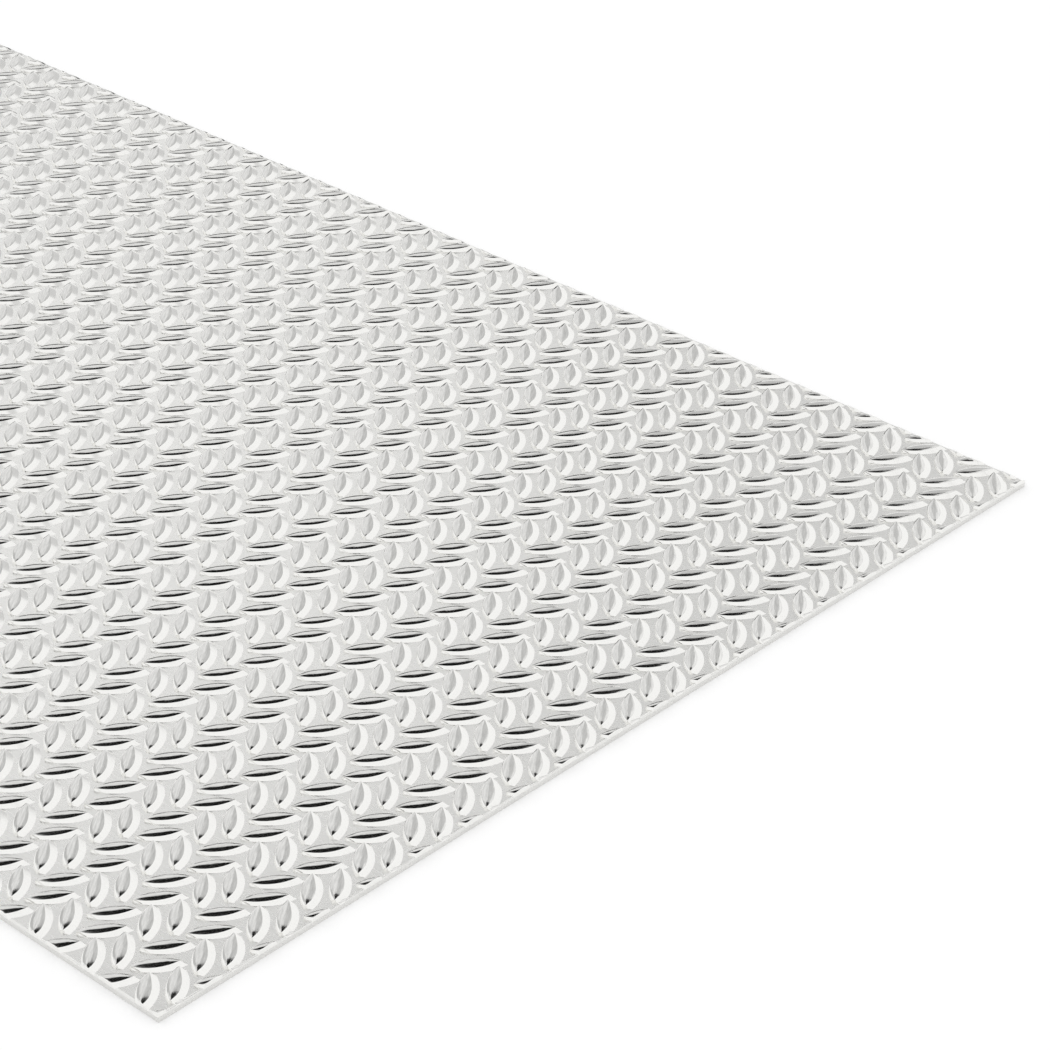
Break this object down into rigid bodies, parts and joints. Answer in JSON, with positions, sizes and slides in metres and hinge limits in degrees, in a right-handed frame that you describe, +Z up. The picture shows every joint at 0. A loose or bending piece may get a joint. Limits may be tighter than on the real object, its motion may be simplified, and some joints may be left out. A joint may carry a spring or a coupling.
{
  "type": "checker plate",
  "caption": "Thin rectangular sheet of bright rolled metal with raised lens-shaped tread bars in alternating pairs on its upper face and plain sheared edges.",
  "frame": {"origin": "centre of the plate's flat underside", "axes": "+X across the width, +Y along the length, +Z up through the thickness and out of the tread side"},
  "size_m": [0.25, 0.5, 0.0015],
  "materials": {
    "mill_finish_aluminium": "bright mill finish"
  },
  "bodies": {
    "root": {"tread_plate": "mill_finish_aluminium"}
  },
  "joints": []
}
